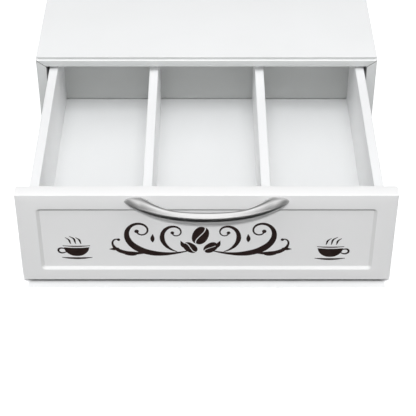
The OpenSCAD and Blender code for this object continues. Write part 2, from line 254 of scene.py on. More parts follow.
class NodeGraph:
    """Short-hand for a node tree."""

    def __init__(self, tree: bpy.types.NodeTree) -> None:
        """Works on this tree, with its texture coordinates at hand."""
        self.tree = tree
        self.coords = self.add("ShaderNodeTexCoord")

    def found(self, kind: str) -> bpy.types.Node:
        """The tree's own node of a kind."""
        return next(n for n in self.tree.nodes if n.type == kind)

    def add(self, kind: str, **settings: object) -> bpy.types.Node:
        """A new node.

        Args:
            kind: the node's class.
            settings: its properties by name.

        Returns:
            The node.
        """
        node = self.tree.nodes.new(kind)
        for key, value in settings.items():
            setattr(node, key, value)
        return node

    def link(self, source: bpy.types.NodeSocket, target: bpy.types.NodeSocket) -> None:
        """Joins two sockets."""
        self.tree.links.new(source, target)

    def computed(self, operation: str, first: bpy.types.NodeSocket,
                 second: bpy.types.NodeSocket | None = None,
                 clamped: bool = False) -> bpy.types.NodeSocket:
        """A value worked out of one or two others.

        Args:
            operation: what is done to them.
            first: the first value.
            second: the second value, where there are two.
            clamped: whether the result is held between 0 and 1.

        Returns:
            The result.
        """
        node = self.add("ShaderNodeMath", operation=operation, use_clamp=clamped)
        self.link(first, node.inputs[0])
        if second is not None:
            self.link(second, node.inputs[1])
        return node.outputs[0]

    def axis(self, letter: str, output: str = "Object") -> bpy.types.NodeSocket:
        """One of the three coordinates.

        Args:
            letter: X, Y or Z.
            output: which coordinates; in a world Generated is the ray's direction.

        Returns:
            The coordinate.
        """
        parts = self.add("ShaderNodeSeparateXYZ")
        self.link(self.coords.outputs[output], parts.inputs[0])
        return parts.outputs[letter]

    def mapped(self, scale: tuple[float, float, float], output: str = "Object") -> bpy.types.NodeSocket:
        """Coordinates stretched along each axis.

        Args:
            scale: the stretch.
            output: which coordinates.

        Returns:
            The stretched coordinates.
        """
        node = self.add("ShaderNodeMapping")
        self.link(self.coords.outputs[output], node.inputs["Vector"])
        node.inputs["Scale"].default_value = scale
        return node.outputs["Vector"]

    def noise(self, vector: bpy.types.NodeSocket, scale: float,
              detail: float = 2.0) -> bpy.types.NodeSocket:
        """Fractal noise.

        Args:
            vector: where it is read.
            scale: how often it repeats in a unit.
            detail: its octaves.

        Returns:
            A value from 0 to 1.
        """
        node = self.add("ShaderNodeTexNoise")
        self.link(vector, node.inputs["Vector"])
        node.inputs["Scale"].default_value = scale
        node.inputs["Detail"].default_value = detail
        return node.outputs["Fac"]

    def ranged(self, value: bpy.types.NodeSocket, low: float, high: float,
               source: tuple[float, float] = (0.3, 0.7)) -> bpy.types.NodeSocket:
        """A value carried from one range to another and held in it.

        Args:
            value: the value.
            low: the result at the start of the source range.
            high: the result at its end.
            source: the source range; the default is where most of a noise lies.

        Returns:
            The result.
        """
        node = self.add("ShaderNodeMapRange")
        self.link(value, node.inputs["Value"])
        node.inputs["From Min"].default_value, node.inputs["From Max"].default_value = source
        node.inputs["To Min"].default_value, node.inputs["To Max"].default_value = low, high
        return node.outputs["Result"]

    def blended(self, factor: bpy.types.NodeSocket, first: Colour, second: Colour) -> bpy.types.NodeSocket:
        """Two colours mixed.

        Args:
            factor: the second colour's share.
            first: the first colour.
            second: the second colour.

        Returns:
            The mixed colour.
        """
        node = self.add("ShaderNodeMix", data_type="RGBA")
        self.link(factor, node.inputs[0])
        node.inputs[6].default_value = (*first, 1.0)
        node.inputs[7].default_value = (*second, 1.0)
        return node.outputs[2]

    def bump(self, height: bpy.types.NodeSocket, strength: float, distance: float,
             under: bpy.types.NodeSocket | None = None) -> bpy.types.NodeSocket:
        """A bumped normal.

        Args:
            height: the relief, from 0 to 1.
            strength: its strength.
            distance: its height in metres.
            under: another relief that it lies on.

        Returns:
            The normal.
        """
        node = self.add("ShaderNodeBump")
        self.link(height, node.inputs["Height"])
        node.inputs["Strength"].default_value = strength
        node.inputs["Distance"].default_value = distance
        if under is not None:
            self.link(under, node.inputs["Normal"])
        return node.outputs["Normal"]


class NodeTree(NodeGraph):
    """A new material's node tree, with its Principled shader."""

    def __init__(self, name: str) -> None:
        """Makes the material.

        Args:
            name: the material's name.
        """
        self.material = bpy.data.materials.new(name)
        self.material.use_nodes = True
        super().__init__(self.material.node_tree)
        self.shader = self.found("BSDF_PRINCIPLED")

    def coat(self, cloud: bpy.types.NodeSocket, colours: tuple[Colour, Colour],
             smear: bpy.types.NodeSocket, gloss: tuple[float, float]) -> None:
        """Gives the shader its colour and its roughness.

        Args:
            cloud: noise that leads from the first colour to the second.
            colours: the two colours.
            smear: noise that leads from the first roughness to the second.
            gloss: the two roughnesses.
        """
        self.link(self.blended(self.ranged(cloud, 0, 1), *colours), self.shader.inputs["Base Color"])
        self.link(self.ranged(smear, *gloss), self.shader.inputs["Roughness"])

    def set(self, **values: object) -> None:
        """Constants on the shader's own sockets, by name with underscores for spaces."""
        for key, value in values.items():
            self.shader.inputs[key.replace("_", " ")].default_value = value


# ------------------------------------------------------------------ finishes


@dataclass(frozen=True)
class Lacquer:
    """Sprayed satin lacquer on fibreboard: fine orange peel, faint clouding and gloss changes."""

    name: str = "white_satin_lacquer"
    colour: Colour = (0.905, 0.908, 0.91)
    clouded: Colour = (0.888, 0.891, 0.892)
    cloud_per_m: float = 14.0
    gloss: tuple[float, float] = (0.34, 0.46)
    smear_per_m: float = 38.0
    wave_per_m: float = 55.0
    wave_strength: float = 0.12
    wave_height: float = 0.0006
    peel_per_m: float = 620.0
    peel_strength: float = 0.35
    peel_height: float = 0.00006
    ior: float = 1.48

    def build(self) -> bpy.types.Material:
        """Builds the finish.

        Returns:
            The material.
        """
        t = NodeTree(self.name)
        where = t.coords.outputs["Object"]
        t.coat(t.noise(where, self.cloud_per_m, detail=3.0), (self.colour, self.clouded),
               t.noise(where, self.smear_per_m, detail=3.0), self.gloss)
        wave = t.bump(t.noise(where, self.wave_per_m, detail=1.0), self.wave_strength, self.wave_height)
        peel = t.bump(t.noise(where, self.peel_per_m), self.peel_strength, self.peel_height, wave)
        t.link(peel, t.shader.inputs["Normal"])
        t.set(IOR=self.ior, Specular_IOR_Level=0.5)
        return t.material


@dataclass(frozen=True)
class CabinetLacquer(Lacquer):
    """The same coat on the cabinet's boards, a shade less white."""

    name: str = "cabinet_white_lacquer"
    colour: Colour = (0.862, 0.866, 0.865)
    clouded: Colour = (0.846, 0.85, 0.848)


@dataclass(frozen=True)
class EdgeBanding(Lacquer):
    """The edge bands' facing, greyer than the boards, with finer peel."""

    name: str = "pale_grey_edge_band"
    colour: Colour = (0.765, 0.777, 0.77)
    clouded: Colour = (0.745, 0.757, 0.75)
    peel_per_m: float = 900.0


@dataclass(frozen=True)
class UpperBandShade(EdgeBanding):
    """The upper band's facing, greyer than the other bands: painted shade on its front face."""

    name: str = "upper_grey_edge_band"
    colour: Colour = (0.69, 0.702, 0.695)
    clouded: Colour = (0.67, 0.682, 0.675)


@dataclass(frozen=True)
class MitreShade(Lacquer):
    """The bands' cut ends in the mitre line, dark: painted shade in the joint's groove."""

    name: str = "cut_band_end"
    colour: Colour = (0.3, 0.295, 0.285)
    clouded: Colour = (0.24, 0.236, 0.228)
    gloss: tuple[float, float] = (0.6, 0.7)


@dataclass(frozen=True)
class RoutedBevelShade(Lacquer):
    """The same coat on a routed bevel, greyer: painted shade on the bevel."""

    name: str = "routed_edge_lacquer"
    colour: Colour = (0.79, 0.792, 0.79)
    clouded: Colour = (0.77, 0.772, 0.77)


@dataclass(frozen=True)
class LowerBevelShade(RoutedBevelShade):
    """The bevel that looks down, darker still: painted shade under the sunk panel's upper edge."""

    name: str = "under_edge_lacquer"
    colour: Colour = (0.54, 0.542, 0.54)
    clouded: Colour = (0.52, 0.522, 0.52)


@dataclass(frozen=True)
class PaintedShadeLacquer(Lacquer):
    """A greyer, flatter lacquer: painted shade on the drawer's back and on the top board's front edge."""

    name: str = "thin_grey_white_lacquer"
    colour: Colour = (0.635, 0.645, 0.635)
    clouded: Colour = (0.61, 0.62, 0.61)
    gloss: tuple[float, float] = (0.44, 0.56)


@dataclass(frozen=True)
class FacedBoard:
    """Thin fibreboard with a smooth white facing, a little flatter than the lacquer."""

    name: str = "white_faced_board"
    colour: Colour = (0.887, 0.893, 0.892)
    clouded: Colour = (0.865, 0.871, 0.87)
    cloud_per_m: float = 9.0
    gloss: tuple[float, float] = (0.44, 0.56)
    smear_per_m: float = 120.0
    grain_per_m: float = 1400.0
    grain_strength: float = 0.3
    grain_height: float = 0.00004
    ior: float = 1.47

    def build(self) -> bpy.types.Material:
        """Builds the finish.

        Returns:
            The material.
        """
        t = NodeTree(self.name)
        where = t.coords.outputs["Object"]
        t.coat(t.noise(where, self.cloud_per_m, detail=4.0), (self.colour, self.clouded),
               t.noise(where, self.smear_per_m, detail=3.0), self.gloss)
        t.link(t.bump(t.noise(where, self.grain_per_m), self.grain_strength, self.grain_height),
               t.shader.inputs["Normal"])
        t.set(IOR=self.ior)
        return t.material


@dataclass(frozen=True)
class RawBeech:
    """Raw beech of dowels and tongues: pores drawn out along the grain."""

    name: str = "raw_beech"
    light: Colour = (0.71, 0.51, 0.32)
    dark: Colour = (0.55, 0.36, 0.2)
    pores_per_m: tuple[float, float, float] = (900.0, 60.0, 900.0)
    gloss: tuple[float, float] = (0.55, 0.7)
    relief: float = 0.3
    pore_depth: float = 0.0001

    def build(self) -> bpy.types.Material:
        """Builds the finish.

        Returns:
            The material.
        """
        t = NodeTree(self.name)
        streak = t.noise(t.mapped(self.pores_per_m), 1.0, detail=4.0)
        t.coat(streak, (self.light, self.dark), streak, self.gloss)
        t.link(t.bump(streak, self.relief, self.pore_depth), t.shader.inputs["Normal"])
        return t.material


@dataclass(frozen=True)
class PadRubber:
    """Matt grey pad with a fine grained skin."""

    name: str = "pad_rubber"
    light: Colour = (0.3, 0.3, 0.31)
    dark: Colour = (0.22, 0.22, 0.23)
    specks_per_m: float = 900.0
    gloss: tuple[float, float] = (0.7, 0.85)
    smear_per_m: float = 200.0
    skin_per_m: float = 1600.0
    skin_strength: float = 0.5
    skin_height: float = 0.00008

    def build(self) -> bpy.types.Material:
        """Builds the finish.

        Returns:
            The material.
        """
        t = NodeTree(self.name)
        where = t.coords.outputs["Object"]
        t.coat(t.noise(where, self.specks_per_m, detail=3.0), (self.light, self.dark),
               t.noise(where, self.smear_per_m), self.gloss)
        t.link(t.bump(t.noise(where, self.skin_per_m), self.skin_strength, self.skin_height),
               t.shader.inputs["Normal"])
        return t.material


@dataclass(frozen=True)
class SatinNickel:
    """Brushed nickel plate: fine lines along the bar, drawn on its own UV map."""

    name: str = "satin_nickel_plate"
    light: Colour = (0.74, 0.739, 0.737)
    dark: Colour = (0.61, 0.609, 0.607)
    lines: tuple[float, float, float] = (6.0, 260.0, 1.0)
    gloss: tuple[float, float] = (0.31, 0.35)
    smear_per_m: float = 70.0
    relief: float = 0.25
    line_depth: float = 0.00005
    grain: float = 0.45

    def build(self) -> bpy.types.Material:
        """Builds the finish.

        Returns:
            The material.
        """
        t = NodeTree(self.name)
        line = t.noise(t.mapped(self.lines, "UV"), 1.0, detail=3.0)
        smear = t.noise(t.coords.outputs["Object"], self.smear_per_m)
        t.coat(line, (self.light, self.dark), smear, self.gloss)
        t.link(t.bump(line, self.relief, self.line_depth), t.shader.inputs["Normal"])
        tangent = t.add("ShaderNodeTangent", direction_type="UV_MAP", uv_map="UVMap")
        t.link(tangent.outputs["Tangent"], t.shader.inputs["Tangent"])
        t.set(Metallic=1.0, Anisotropic=self.grain)
        return t.material


@dataclass(frozen=True)
class ZincPlate:
    """Bright zinc on screws and pins, a little mottled."""

    name: str = "bright_zinc"
    light: Colour = (0.66, 0.68, 0.71)
    dark: Colour = (0.5, 0.52, 0.56)
    mottles_per_m: float = 900.0
    gloss: tuple[float, float] = (0.25, 0.4)

    def build(self) -> bpy.types.Material:
        """Builds the finish.

        Returns:
            The material.
        """
        t = NodeTree(self.name)
        mottle = t.noise(t.coords.outputs["Object"], self.mottles_per_m, detail=3.0)
        t.coat(mottle, (self.light, self.dark), mottle, self.gloss)
        t.set(Metallic=1.0)
        return t.material


@dataclass(frozen=True)
class PrintInk:
    """Dark brown screen print, satin, with a trace of uneven cover."""

    name: str = "dark_brown_print"
    full: Colour = (0.012, 0.0055, 0.0045)
    thin: Colour = (0.022, 0.011, 0.009)
    cover_per_m: float = 260.0
    gloss: tuple[float, float] = (0.42, 0.55)
    mesh_per_m: float = 700.0
    mesh_strength: float = 0.2
    mesh_height: float = 0.00004

    def build(self) -> bpy.types.Material:
        """Builds the finish.

        Returns:
            The material.
        """
        t = NodeTree(self.name)
        where = t.coords.outputs["Object"]
        cover = t.noise(where, self.cover_per_m, detail=4.0)
        t.coat(cover, (self.full, self.thin), cover, self.gloss)
        t.link(t.bump(t.noise(where, self.mesh_per_m), self.mesh_strength, self.mesh_height),
               t.shader.inputs["Normal"])
        return t.material


def built(finish: type) -> Any:
    """A field with a finish's material, which is made with the object that holds the field."""
    return field(default_factory=lambda: finish().build())


@dataclass
class Finishes:
    """Every finish of the object, built once."""

    lacquer: bpy.types.Material = built(Lacquer)
    cabinet: bpy.types.Material = built(CabinetLacquer)
    banding: bpy.types.Material = built(EdgeBanding)
    # the next five finishes are greyed lacquers that carry painted shade
    upper_band_shade: bpy.types.Material = built(UpperBandShade)
    mitre: bpy.types.Material = built(MitreShade)
    routed: bpy.types.Material = built(RoutedBevelShade)
    lower_bevel_shade: bpy.types.Material = built(LowerBevelShade)
    shade_lacquer: bpy.types.Material = built(PaintedShadeLacquer)
    faced_board: bpy.types.Material = built(FacedBoard)
    beech: bpy.types.Material = built(RawBeech)
    rubber: bpy.types.Material = built(PadRubber)
    nickel: bpy.types.Material = built(SatinNickel)
    zinc: bpy.types.Material = built(ZincPlate)
    ink: bpy.types.Material = built(PrintInk)


# ------------------------------------------------------------------ pieces


def make_piece(name: str, shape: Shape, material: bpy.types.Material, body: str,
               replaces: tuple[str, ...] = (), crease: float = 32.0) -> bpy.types.Object:
    """Puts a shape into a mesh object that rides on a body.

    Args:
        name: the piece's name.
        shape: its surface, in place in the row frame.
        material: its finish.
        body: the body that carries it.
        replaces: CAD nodes that it stands for.
        crease: edges sharper than this many degrees stay sharp.

    Returns:
        The new object.
    """
    mesh = bpy.data.meshes.new(name)
    mesh.from_pydata(shape.verts.tolist(), [], shape.faces)
    if shape.uv is not None:
        corner = np.empty(len(mesh.loops), dtype=np.int32)
        mesh.loops.foreach_get("vertex_index", corner)
        layer = mesh.uv_layers.new(name="UVMap")
        layer.data.foreach_set("uv", shape.uv[corner].astype(np.float32).ravel())
    mesh.shade_smooth()
    mesh.set_sharp_from_angle(angle=math.radians(crease))
    mesh.materials.append(material)
    mesh.validate()
    piece = bpy.data.objects.new(name, mesh)
    bpy.context.scene.collection.objects.link(piece)
    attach(piece, body)
    if replaces:
        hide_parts(*replaces)
    log.info("%s: %d vertices on %s", name, len(mesh.vertices), body)
    return piece


def refinish(piece: bpy.types.Object, material: bpy.types.Material,
             chosen: Callable[[np.ndarray, np.ndarray], np.ndarray]) -> None:
    """Gives some of a piece's faces another finish.

    Args:
        piece: the piece.
        material: the finish for those faces.
        chosen: takes the faces' middles and their normals, and says which faces are meant.
    """
    mesh = piece.data
    middle, normal = (np.empty(3 * len(mesh.polygons), dtype=np.float32) for _ in range(2))
    mesh.polygons.foreach_get("center", middle)
    mesh.polygons.foreach_get("normal", normal)
    index = np.empty(len(mesh.polygons), dtype=np.int32)
    mesh.polygons.foreach_get("material_index", index)
    index[chosen(middle.reshape(-1, 3), normal.reshape(-1, 3))] = len(mesh.materials)
    mesh.materials.append(material)
    mesh.polygons.foreach_set("material_index", index)


def dress_node(node: str, material: bpy.types.Material) -> None:
    """Gives a carried-over CAD node its finish.

    Args:
        node: the node's name.
        material: its finish.
    """
    mesh = frame["nodes"][node].data
    mesh.materials.clear()
    mesh.materials.append(material)
    log.info("%s: kept, %s", node, material.name)


# ------------------------------------------------------------------ cabinet


@dataclass
class Cabinet:
    """The still part: four mitred boards, their edge bands, the rear panel, pins, tongues and pads."""

    finishes: Finishes
    width: float = 310 * MM
    height: float = 93 * MM
    depth: float = 250 * MM
    board: float = 8.7 * MM
    band: float = 2.5 * MM
    band_round: float = 0.8 * MM
    band_step: float = 2.2 * MM
    arris: float = 0.5 * MM
    seam: float = 0.4 * MM
    upper_seam: float = 0.6 * MM
    corner_round: float = 0.5 * MM
    inner_round: float = 0.35 * MM
    mitre_line: float = 0.45 * MM
    foot: float = 2 * MM
    rear_panel: float = 3 * MM
    rebate: float = 5 * MM
    rear_round: float = 0.3 * MM
    pins: tuple[tuple[Side, int], ...] = ((Side.TOP, 5), (Side.BOTTOM, 5), (Side.LEFT, 2), (Side.RIGHT, 2))
    pin_radius: float = 0.7 * MM
    pin_head_radius: float = 1.5 * MM
    pin_head_edge: float = 0.35 * MM
    pin_neck: float = 0.6 * MM
    pin_dome: float = 0.15 * MM
    pin_length: float = 15 * MM
    pin_point: float = 1.6 * MM
    pin_inset: float = 2.4 * MM
    core: float = 0.02 * MM          # radius at which the pins' profile closes
    pin_sides: int = 20

    def middle_z(self) -> float:
        """Height of the box's middle."""
        return self.foot + self.height / 2

    def length_of(self, side: Side) -> float:
        """Outer length of a board."""
        return self.width if side in (Side.TOP, Side.BOTTOM) else self.height

    def placed(self, shape: Shape, side: Side) -> Shape:
        """A shape drawn with its outer face at Z = 0, brought to its side of the box."""
        out = self.height / 2 if side in (Side.TOP, Side.BOTTOM) else self.width / 2
        return shape.moved(0, 0, out).turned_about_y(side.value).moved(0, FRONT_PLANE_Y, self.middle_z())

    def board_loop(self, length: float, lowered: float, thinned: float) -> np.ndarray:
        """Section of a board across its length.

        The loop is a trapezoid with 45 degree ends. Where the ends meet the outer face, a half arc
        of the corner's radius runs up to the mitre plane.

        Args:
            length: outer length.
            lowered: how far the outer face is taken down, for the seam's groove.
            thinned: how far the inner face is taken up, for the rebate.

        Returns:
            Array of (along, height) points.
        """
        r, half, inner = self.corner_round, length / 2 - lowered, -self.board + thinned
        right = arc((half - r, -lowered - r), r, 90, 45, 4)
        left = right[::-1] * np.array([-1, 1])
        base = np.array([[length / 2 + inner, inner], [-length / 2 - inner, inner]])
        return np.concatenate([left, right, base])

    def board_shape(self, side: Side) -> Shape:
        """A board: its section carried from the bands to the rear.

        The first stations rise along a quarter circle: out of the seam's groove, or at the top board
        from its front edge, which stands above the band. At the last stations the inner face steps
        back by the rebate.

        Args:
            side: which board.

        Returns:
            The board in its place.
        """
        length = self.length_of(side)
        turn = np.linspace(0, math.pi / 2, 5)
        r = self.arris if side is Side.TOP else self.seam
        stations = [(self.band + r * (1 - math.cos(a)), r * (1 - math.sin(a)), 0.0) for a in turn]
        step, rear = self.depth - self.rear_panel, self.rear_round
        stations += [(step, 0.0, 0.0), (step, 0.0, self.rebate), (self.depth - rear, 0.0, self.rebate),
                     (self.depth, rear, self.rebate)]
        rings = []
        for y, lowered, thinned in stations:
            loop = self.board_loop(length, lowered, thinned)
            rings.append(np.stack([loop[:, 0], np.full(len(loop), y), loop[:, 1]], -1))
        return self.placed(loft(np.array(rings)), side)

    def band_shape(self, side: Side) -> Shape:
        """An edge band: a section with a rounded outer edge carried along the edge, with mitred ends.

        A mitre is the plane from the bands' outer corner to the boards' inner corner. A point of the
        section at height h above the inner face ends there: half the length, less the board, plus h
        times the mitre's run over its rise. The last stations draw the section in by a hair, which
        leaves a fine line between two bands.

        Args:
            side: which board's band.

        Returns:
            The band in its place.
        """
        board, step, r, ir = self.board, self.band_step, self.band_round, self.inner_round
        drop = step if side is Side.TOP else 0.0
        seam = self.upper_seam if drop else self.seam
        loop = np.concatenate([
            [[self.band, -board]], arc((ir, -board + ir), ir, 270, 180, 4),
            arc((r, -drop - r), r, 180, 90, 8), [[self.band - seam, -drop], [self.band, -drop - seam]],
        ])
        upper = {Side.RIGHT: -1, Side.LEFT: 1}.get(side, 0)
        centre = np.array([self.band / 2, -(board + drop) / 2])
        line = self.mitre_line
        rings = []
        for sign, inset, drawn in ((-1, 0.0, line), (-1, line, 0.0), (1, line, 0.0), (1, 0.0, line)):
            run = board - step if sign == upper else board
            section = centre + (loop - centre) * (1 - drawn / np.abs(loop - centre).max(0))
            height = (section[:, 1] + board) / (board - drop)
            along = sign * (self.length_of(side) / 2 - board + run * height - inset)
            rings.append(np.stack([along, section[:, 0], section[:, 1]], -1))
        return self.placed(loft(np.array(rings)), side)

    def pins_shape(self) -> Shape:
        """The rear panel's pins: a domed head on a shank, a profile turned about its own axis.

        Returns:
            All pins in one shape.
        """
        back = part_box("back_panel_pins")[1][1]
        r, hr, high, length = self.pin_radius, self.pin_head_radius, self.pin_dome, self.pin_length
        angle = np.linspace(0, math.pi / 2, 6)[1:]
        dome = np.stack([hr * np.sin(angle), high * np.cos(angle)], -1)
        shank = [[hr, -self.pin_head_edge], [r, -self.pin_neck], [r, -length + self.pin_point],
                 [self.core, -length]]
        profile = np.concatenate([[[self.core, high]], dome, shank])
        upright = revolved(profile[::-1], self.pin_sides)
        pin = Shape(upright.verts[:, [0, 2, 1]], upright.faces).outward()
        inset = self.board - self.rebate + self.pin_inset
        shapes = []
        for side, count in self.pins:
            span = self.length_of(side) - 2 * self.board
            for i in range(count):
                spot = pin.moved(span * ((i + 0.5) / count - 0.5), 0, -inset)
                shapes.append(self.placed(spot, side).moved(0, back - FRONT_PLANE_Y, 0))
        return joined(shapes)

    def build(self) -> None:
        """Builds and dresses every piece of the cabinet."""
        f = self.finishes
        for side in Side:
            word = side.name.lower()
            board = make_piece(f"board_{word}", self.board_shape(side), f.cabinet, CABINET,
                               (f"cabinet_{word}",))
            # painted shade: the top band's front takes a greyer facing than the other bands
            facing = f.upper_band_shade if side is Side.TOP else f.banding
            band = make_piece(f"band_{word}", self.band_shape(side), facing, CABINET,
                              (f"edge_band_{word}",))
            along = 0 if side in (Side.TOP, Side.BOTTOM) else 2
            # painted shade: the bands' cut ends darken the mitre line
            refinish(band, f.mitre, lambda middle, normal: np.abs(normal[:, along]) > CUT_END)
            if side is Side.TOP:
                # painted shade: the top board's front edge takes the greyer lacquer
                refinish(board, f.shade_lacquer, lambda middle, normal: normal[:, 1] < -FACING)
                # painted light: the top band's upward faces take the whiter lacquer, lighter than its front
                refinish(band, f.lacquer, lambda middle, normal: normal[:, 2] > FACING)
        make_piece("rear_pins", self.pins_shape(), f.zinc, CABINET, ("back_panel_pins",))
        dress_node("cabinet_back", f.faced_board)
        for node in frame["nodes"]:
            if node.startswith("mitre_spline"):
                dress_node(node, f.beech)
            elif node.startswith("foot_"):
                dress_node(node, f.rubber)


# ------------------------------------------------------------------ drawer


@dataclass
class DrawerBox:
    """Sides, back, bottom, dividers and dowels of the drawer."""

    finishes: Finishes
    edge_round: float = 0.8 * MM
    end_share: float = 0.6           # inset of a rear end's rounding as a share of its length
    lower_round: float = 0.4 * MM
    joint: float = 0.5 * MM
    joint_depth: float = 1.0 * MM

    def along_y(self, node: str, open_rear: bool) -> Shape:
        """A board on edge: a section with rounded upper edges carried from front to rear.

        Args:
            node: CAD node whose box it fills.
            open_rear: whether the rear end shows, so that its edges are rounded too.

        Returns:
            The board.
        """
        low, high = (np.array(c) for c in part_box(node))
        low[1] = max(low[1], DRAWER_ZERO_Y)
        r, lr = self.edge_round, self.lower_round
        stations = [(low[1], 0.0), (high[1] - (r if open_rear else 0.0), 0.0)]
        if open_rear:
            for a in np.linspace(0, math.pi / 2, 5)[1:]:
                stations.append((high[1] - r + r * math.sin(a), r * self.end_share * (1 - math.cos(a))))
        rings = []
        for y, inset in stations:
            loop = rounded_loop((low[0] + inset, low[2] + inset), (high[0] - inset, high[2] - inset),
                                (lr, r, r, lr))
            rings.append(np.stack([loop[:, 0], np.full(len(loop), y), loop[:, 1]], -1))
        return loft(np.array(rings))

    def across_x(self, node: str) -> Shape:
        """The back: the same kind of section carried from side to side.

        A narrow groove in its front is the joint line over the drawer's bottom.

        Args:
            node: CAD node whose box it fills.

        Returns:
            The board.
        """
        low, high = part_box(node)
        r, lr = self.edge_round, self.lower_round
        loop = rounded_loop((low[1], low[2]), (high[1], high[2]), (lr, r, r, lr))
        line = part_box("drawer_bottom")[1][2] + np.array([self.joint, self.joint, 0, 0])
        depth = low[1] + np.array([0, self.joint_depth, self.joint_depth, 0])
        foot = (loop[:, 0] < low[1] + lr + TOUCH) & (loop[:, 1] < low[2] + lr + TOUCH)
        loop = np.insert(loop, [len(loop) - np.count_nonzero(foot)], np.stack([depth, line], -1), axis=0)
        rings = [np.stack([np.full(len(loop), x), loop[:, 0], loop[:, 1]], -1) for x in (low[0], high[0])]
        return loft(np.array(rings))

    def build(self) -> None:
        """Builds and dresses every piece of the drawer box."""
        f = self.finishes
        for word in ("left", "right"):
            make_piece(f"side_{word}", self.along_y(f"drawer_{word}_side", True), f.lacquer, DRAWER,
                       (f"drawer_{word}_side",))
            make_piece(f"parting_{word}", self.along_y(f"divider_{word}", False), f.lacquer, DRAWER,
                       (f"divider_{word}",))
        # painted shade: the drawer's back takes the greyer lacquer
        make_piece("rear_board", self.across_x("drawer_back"), f.shade_lacquer, DRAWER,
                   ("drawer_back",))
        dress_node("drawer_bottom", f.faced_board)
        dress_node("front_dowels", f.beech)
        dress_node("rear_dowels", f.beech)


@dataclass
class DrawerFront:
    """The thick front with its sunk panel."""

    finishes: Finishes
    stile: float = 15.9 * MM
    top_rail: float = 14.3 * MM
    bottom_rail: float = 11.3 * MM
    sunk: float = 1.6 * MM
    bevel: float = 2.6 * MM
    sunk_corner: float = 3.6 * MM
    least_corner: float = 0.4 * MM
    outline_corner: float = 0.25 * MM
    corner_growth: float = 0.2       # how fast the outline's corner radius grows with its inset
    face_round: float = 0.6 * MM
    back_round: float = 0.5 * MM
    soft: float = 0.35 * MM
    bevel_tilt: float = 0.96         # a face that looks to the front by less than this share is bevel
    level: float = 0.02              # a bevel face that looks up by more than this keeps the plain lacquer, without painted shade
    looks_down: float = 0.37         # one that looks down by more than this is the upper bevel

    def ring(self, inset: tuple[float, float, float], radius: float, y: float) -> np.ndarray:
        """A rounded rectangle in the front's plane.

        Args:
            inset: distance from the outline at the sides, above and below.
            radius: corner radius.
            y: distance in front of the back face, so negative.

        Returns:
            Array of (x, y, z) points.
        """
        low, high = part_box("drawer_front")
        side, above, below = inset
        loop = rounded_loop((low[0] + side, low[2] + below), (high[0] - side, high[2] - above),
                            (radius,) * 4, 8)
        return np.stack([loop[:, 0], np.full(len(loop), DRAWER_ZERO_Y + y), loop[:, 1]], -1)

    def shape(self) -> Shape:
        """The front as a skin over nested rounded rectangles.

        From the middle outwards: the sunk floor, a soft turn into the bevel, a soft turn onto the
        frame, the frame's face, a quarter circle at the face's edge, the thickness, a quarter circle
        at the back and the back face.

        Returns:
            The front in its place.
        """
        low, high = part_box("drawer_front")
        face = low[1] - high[1]
        slope = self.sunk / self.bevel
        rings = []
        for t in np.linspace(-1, 1, 7):                 # floor turns into the bevel
            lift = slope * self.soft * (1 + t) ** 2 / 4
            rings.append(self.sunk_ring(self.bevel - t * self.soft, face + self.sunk - lift))
        for t in np.linspace(-1, 1, 7):                 # bevel turns onto the frame
            drop = slope * self.soft * (1 - t) ** 2 / 4
            rings.append(self.sunk_ring(-t * self.soft, face + drop))
        for a in np.linspace(0, math.pi / 2, 7):        # face turns over its edge
            inset = self.face_round * (1 - math.sin(a))
            rings.append(self.outline_ring(inset, face + self.face_round * (1 - math.cos(a))))
        for a in np.linspace(0, math.pi / 2, 5):        # sides turn onto the back
            inset = self.back_round * (1 - math.cos(a))
            rings.append(self.outline_ring(inset, self.back_round * (math.sin(a) - 1)))
        return loft(np.array(rings))

    def outline_ring(self, inset: float, y: float) -> np.ndarray:
        """A ring inside the front's outline by an even inset."""
        return self.ring((inset,) * 3, self.outline_corner + inset * self.corner_growth, y)

    def sunk_ring(self, reach: float, y: float) -> np.ndarray:
        """A ring round the sunk panel; reach is how far it lies inside the panel's outer edge."""
        return self.ring((self.stile + reach, self.top_rail + reach, self.bottom_rail + reach),
                         max(self.sunk_corner - reach, self.least_corner), y)

    def routed_faces(self, middle: np.ndarray, normal: np.ndarray) -> np.ndarray:
        """The bevel's faces above and at the sides, which get painted shade.

        Args:
            middle: the faces' middles.
            normal: their normals.

        Returns:
            True for each face that is meant.
        """
        low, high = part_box("drawer_front")
        half = (high[0] - low[0]) / 2
        inside = ((np.abs(middle[:, 0] - (low[0] + high[0]) / 2) < half - self.stile)
                  & (middle[:, 2] > low[2] + self.bottom_rail) & (middle[:, 2] < high[2] - self.top_rail))
        return inside & (normal[:, 1] > -self.bevel_tilt) & (normal[:, 2] < self.level)

    def under_faces(self, middle: np.ndarray, normal: np.ndarray) -> np.ndarray:
        """Those of the routed faces that look down, which get the darkest painted shade."""
        return self.routed_faces(middle, normal) & (normal[:, 2] < -self.looks_down)

    def panel_y(self) -> float:
        """Where the sunk panel's face lies."""
        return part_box("drawer_front")[0][1] + self.sunk

    def build(self) -> None:
        """Builds the front."""
        front = make_piece("front_panel", self.shape(), self.finishes.lacquer, DRAWER,
                           ("drawer_front",), crease=40)
        # painted shade: the sunk panel's upper and side bevels take a greyer lacquer, the upper one darker
        # still
        refinish(front, self.finishes.routed, self.routed_faces)
        refinish(front, self.finishes.lower_bevel_shade, self.under_faces)


